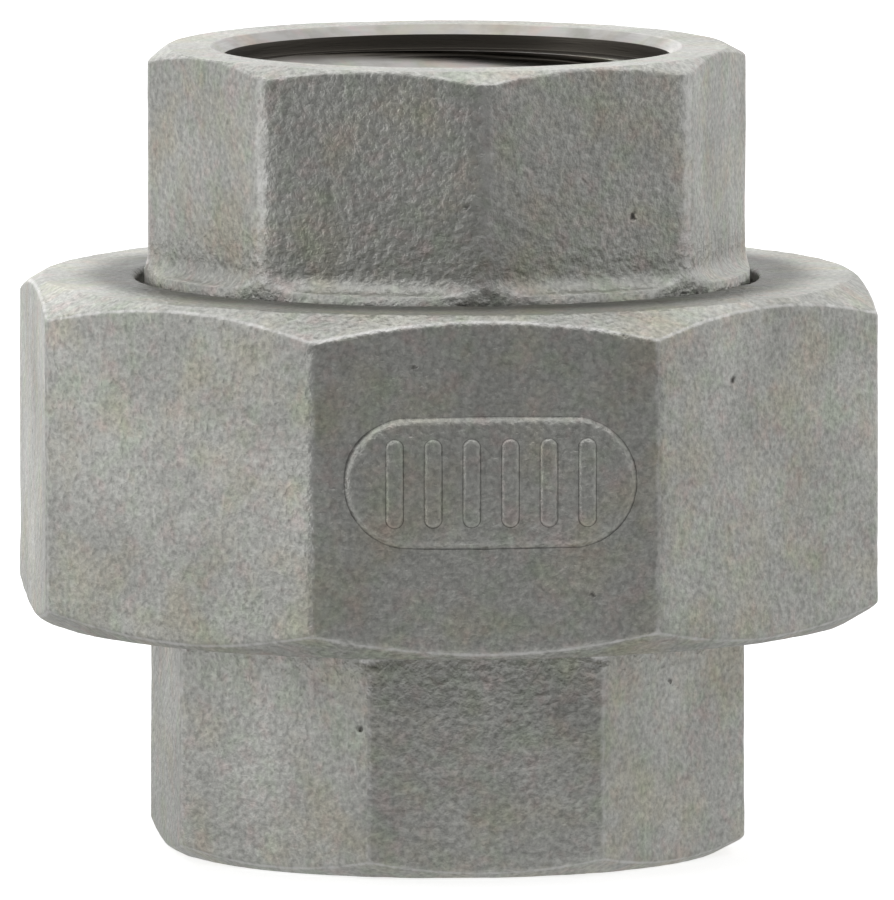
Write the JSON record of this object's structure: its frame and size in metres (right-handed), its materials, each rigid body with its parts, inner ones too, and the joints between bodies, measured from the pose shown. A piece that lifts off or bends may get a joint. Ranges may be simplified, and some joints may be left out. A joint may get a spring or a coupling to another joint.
{
  "type": "pipe union",
  "caption": "Screwed pipe union: two octagonal ends with internal pipe threads, drawn onto a ball seat by a large octagonal collar nut.",
  "frame": {"origin": "centre of the head piece's end face, the lower end", "axes": "+Z along the pipe towards the tail piece; -Y towards the nut's flat that carries the size pad"},
  "size_m": [0.0428, 0.0429, 0.04],
  "materials": {
    "cast_stainless": "bead-blasted and pickled cast stainless steel, machined at the ports"
  },
  "bodies": {
    "head": {"head_piece": "cast_stainless"},
    "tail": {"tail_piece": "cast_stainless"},
    "nut": {"union_nut": "cast_stainless"}
  },
  "joints": [
    {"name": "tail_lift", "type": "slide", "parent": "head", "child": "tail", "axis": [0, 0, 1], "range_m": [0, 0.009]},
    {"name": "nut_turn", "type": "hinge", "parent": "tail", "child": "nut", "pos_m": [0, 0, 0], "axis": [0, 0, 1], "range_deg": [0, 1620]}
  ],
  "couplings": [
    {"joint": "tail_lift", "follows": "nut_turn", "m_per_rad": 0.0003183}
  ]
}
